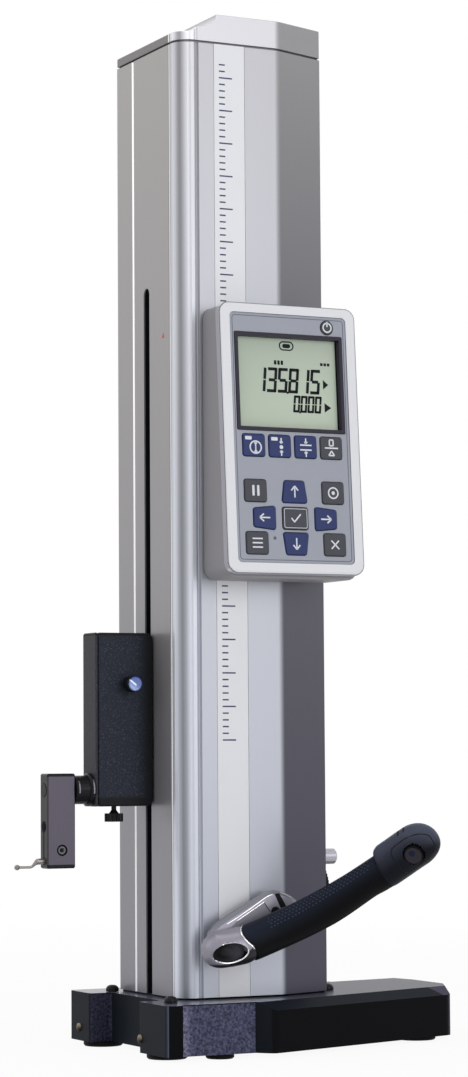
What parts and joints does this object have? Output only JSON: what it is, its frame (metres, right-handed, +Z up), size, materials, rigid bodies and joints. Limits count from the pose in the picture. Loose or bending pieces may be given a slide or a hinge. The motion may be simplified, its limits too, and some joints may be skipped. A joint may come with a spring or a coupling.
{
  "type": "digital height gauge",
  "caption": "Column height gauge: a slider with a touch probe and counterweight, tilted display with keys, handwheel, curved grip and a cast base on air pads.",
  "frame": {"origin": "middle of the bounding box in plan, on the surface plate that the pads stand on", "axes": "+Z up along the column; the display faces -Y; the probe points to -X and the base's arm to +X"},
  "size_m": [0.362, 0.2568, 0.7806],
  "materials": {
    "cast": "dark glossy paint over a cast skin",
    "pad": "smooth",
    "cover": "satin",
    "pump": "satin",
    "pack": "satin",
    "screw_black": "blackened steel",
    "column": "satin anodised",
    "strip": null,
    "cap": "satin",
    "rail": "ground",
    "scale": "ruled measuring scale",
    "belt": "thin steel band",
    "pulley": "turned",
    "bracket_inner": "milled",
    "weight": "as cast",
    "carriage": "milled",
    "head": "satin",
    "slider": "fine textured paint",
    "knob": "satin",
    "blue_cap": "glossy",
    "thumb": "blackened steel",
    "block": "dark steel",
    "screw_steel": "satin",
    "stylus": "ground",
    "housing": "satin",
    "shell": "silver lacquer",
    "panel": "fine texture",
    "bezel": "glossy",
    "lcd": "matt glass over grey-green crystal",
    "board": "circuit board",
    "wheel": "satin",
    "shaft": "ground",
    "side_knob": "turned",
    "bracket": "polished die casting",
    "lobe_cap": "glossy",
    "sleeve": "dimpled",
    "tip": "satin",
    "button": "satin",
    "key_blue": "satin",
    "key_grey": "satin"
  },
  "bodies": {
    "stand": {"air_pump": "pump", "base_casting": "cast", "base_pad_front": "pad", "base_pad_left": "pad", "base_pad_near": "pad", "base_pad_right": "pad", "battery_pack": "pack", "bay_cover": "cover", "column_shell": "column", "display_board": "board", "display_housing": "housing", "display_shell": "shell", "dome_screw_left": "screw_black", "dome_screw_near": "screw_black", "dome_screw_right": "screw_black", "drive_belt": "belt", "front_strip": "strip", "grip_bracket": "bracket", "grip_sleeve": "sleeve", "grip_tip": "tip", "guide_rail": "rail", "idler_bracket": "bracket_inner", "keypad_panel": "panel", "lcd_bezel": "bezel", "lcd_module": "lcd", "lobe_cap": "lobe_cap", "scale_bar": "scale", "top_cap": "cap"},
    "slider": {"carriage": "carriage", "reading_head": "head", "slider_housing": "slider", "slider_cover": "slider", "probe_collar": "thumb"},
    "lock": {"lock_knob": "knob", "lock_knob_cap": "blue_cap"},
    "thumb": {"thumb_screw": "thumb"},
    "probe": {"probe_shaft": "thumb", "probe_block": "block", "stylus_clamp_screw": "screw_steel", "stylus": "stylus"},
    "weight": {"counterweight": "weight"},
    "idler": {"idler_pulley": "pulley"},
    "drive": {"drive_shaft": "shaft", "handwheel": "wheel"},
    "vent_knob": {"side_knob": "side_knob"},
    "air": {"air_button": "button"},
    "key_arrow_down_body": {"key_arrow_down": "key_blue"},
    "key_arrow_left_body": {"key_arrow_left": "key_blue"},
    "key_arrow_right_body": {"key_arrow_right": "key_blue"},
    "key_arrow_up_body": {"key_arrow_up": "key_blue"},
    "key_enter_body": {"key_enter": "key_grey"},
    "key_lower_left_body": {"key_lower_left": "key_grey"},
    "key_lower_right_body": {"key_lower_right": "key_grey"},
    "key_mode_1_body": {"key_mode_1": "key_blue"},
    "key_mode_2_body": {"key_mode_2": "key_blue"},
    "key_mode_3_body": {"key_mode_3": "key_blue"},
    "key_mode_4_body": {"key_mode_4": "key_grey"},
    "key_power_body": {"key_power": "key_grey"},
    "key_upper_left_body": {"key_upper_left": "key_grey"},
    "key_upper_right_body": {"key_upper_right": "key_grey"}
  },
  "joints": [
    {"name": "slider_lift", "type": "slide", "parent": "stand", "child": "slider", "axis": [0, 0, 1], "range_m": [-0.1355, 0.2145]},
    {"name": "weight_lift", "type": "slide", "parent": "stand", "child": "weight", "axis": [0, 0, 1], "range_m": [-0.2145, 0.1355]},
    {"name": "wheel_turn", "type": "hinge", "parent": "stand", "child": "drive", "pos_m": [0.0572, 0.03838, 0.1163], "axis": [1, 0, 0], "range_deg": [-490, 774]},
    {"name": "idler_turn", "type": "hinge", "parent": "stand", "child": "idler", "pos_m": [-0.01101, 0.03838, 0.7143], "axis": [1, 0, 0], "range_deg": [-490, 774]},
    {"name": "probe_turn", "type": "hinge", "parent": "slider", "child": "probe", "pos_m": [-0.1203, 0.04728, 0.1958], "axis": [1, 0, 0], "range_deg": [-90, 90]},
    {"name": "thumb_turn", "type": "hinge", "parent": "slider", "child": "thumb", "pos_m": [-0.1005, 0.04728, 0.1833], "axis": [0, 0, 1], "range_deg": [0, 360]},
    {"name": "lock_turn", "type": "hinge", "parent": "slider", "child": "lock", "pos_m": [-0.0934, 0.03498, 0.2748], "axis": [0, 1, 0], "range_deg": [0, 90]},
    {"name": "side_knob_turn", "type": "hinge", "parent": "stand", "child": "vent_knob", "pos_m": [0.0575, 0.01288, 0.1433], "axis": [1, 0, 0], "range_deg": [0, 90]},
    {"name": "air_press", "type": "slide", "parent": "stand", "child": "air", "axis": [0.6177, 0.6751, 0.4034], "range_m": [0, 0.0015], "stiffness_N_per_m": 800, "springref_m": -0.0005},
    {"name": "press_arrow_down", "type": "slide", "parent": "stand", "child": "key_arrow_down_body", "axis": [0, 0.9978, -0.0663], "range_m": [0, 0.0008], "stiffness_N_per_m": 600, "springref_m": -0.0004},
    {"name": "press_arrow_left", "type": "slide", "parent": "stand", "child": "key_arrow_left_body", "axis": [0, 0.9978, -0.0663], "range_m": [0, 0.0008], "stiffness_N_per_m": 600, "springref_m": -0.0004},
    {"name": "press_arrow_right", "type": "slide", "parent": "stand", "child": "key_arrow_right_body", "axis": [0, 0.9978, -0.0663], "range_m": [0, 0.0008], "stiffness_N_per_m": 600, "springref_m": -0.0004},
    {"name": "press_arrow_up", "type": "slide", "parent": "stand", "child": "key_arrow_up_body", "axis": [0, 0.9978, -0.0663], "range_m": [0, 0.0008], "stiffness_N_per_m": 600, "springref_m": -0.0004},
    {"name": "press_enter", "type": "slide", "parent": "stand", "child": "key_enter_body", "axis": [0, 0.9978, -0.0663], "range_m": [0, 0.0008], "stiffness_N_per_m": 600, "springref_m": -0.0004},
    {"name": "press_lower_left", "type": "slide", "parent": "stand", "child": "key_lower_left_body", "axis": [0, 0.9978, -0.0663], "range_m": [0, 0.0008], "stiffness_N_per_m": 600, "springref_m": -0.0004},
    {"name": "press_lower_right", "type": "slide", "parent": "stand", "child": "key_lower_right_body", "axis": [0, 0.9978, -0.0663], "range_m": [0, 0.0008], "stiffness_N_per_m": 600, "springref_m": -0.0004},
    {"name": "press_mode_1", "type": "slide", "parent": "stand", "child": "key_mode_1_body", "axis": [0, 0.9978, -0.0663], "range_m": [0, 0.0008], "stiffness_N_per_m": 600, "springref_m": -0.0004},
    {"name": "press_mode_2", "type": "slide", "parent": "stand", "child": "key_mode_2_body", "axis": [0, 0.9978, -0.0663], "range_m": [0, 0.0008], "stiffness_N_per_m": 600, "springref_m": -0.0004},
    {"name": "press_mode_3", "type": "slide", "parent": "stand", "child": "key_mode_3_body", "axis": [0, 0.9978, -0.0663], "range_m": [0, 0.0008], "stiffness_N_per_m": 600, "springref_m": -0.0004},
    {"name": "press_mode_4", "type": "slide", "parent": "stand", "child": "key_mode_4_body", "axis": [0, 0.9978, -0.0663], "range_m": [0, 0.0008], "stiffness_N_per_m": 600, "springref_m": -0.0004},
    {"name": "press_power", "type": "slide", "parent": "stand", "child": "key_power_body", "axis": [0, 0.9978, -0.0663], "range_m": [0, 0.0008], "stiffness_N_per_m": 600, "springref_m": -0.0004},
    {"name": "press_upper_left", "type": "slide", "parent": "stand", "child": "key_upper_left_body", "axis": [0, 0.9978, -0.0663], "range_m": [0, 0.0008], "stiffness_N_per_m": 600, "springref_m": -0.0004},
    {"name": "press_upper_right", "type": "slide", "parent": "stand", "child": "key_upper_right_body", "axis": [0, 0.9978, -0.0663], "range_m": [0, 0.0008], "stiffness_N_per_m": 600, "springref_m": -0.0004}
  ],
  "couplings": [
    {"joint": "weight_lift", "follows": "slider_lift", "ratio": -1},
    {"joint": "wheel_turn", "follows": "slider_lift", "rad_per_m": 62.893},
    {"joint": "idler_turn", "follows": "slider_lift", "rad_per_m": 62.893}
  ]
}
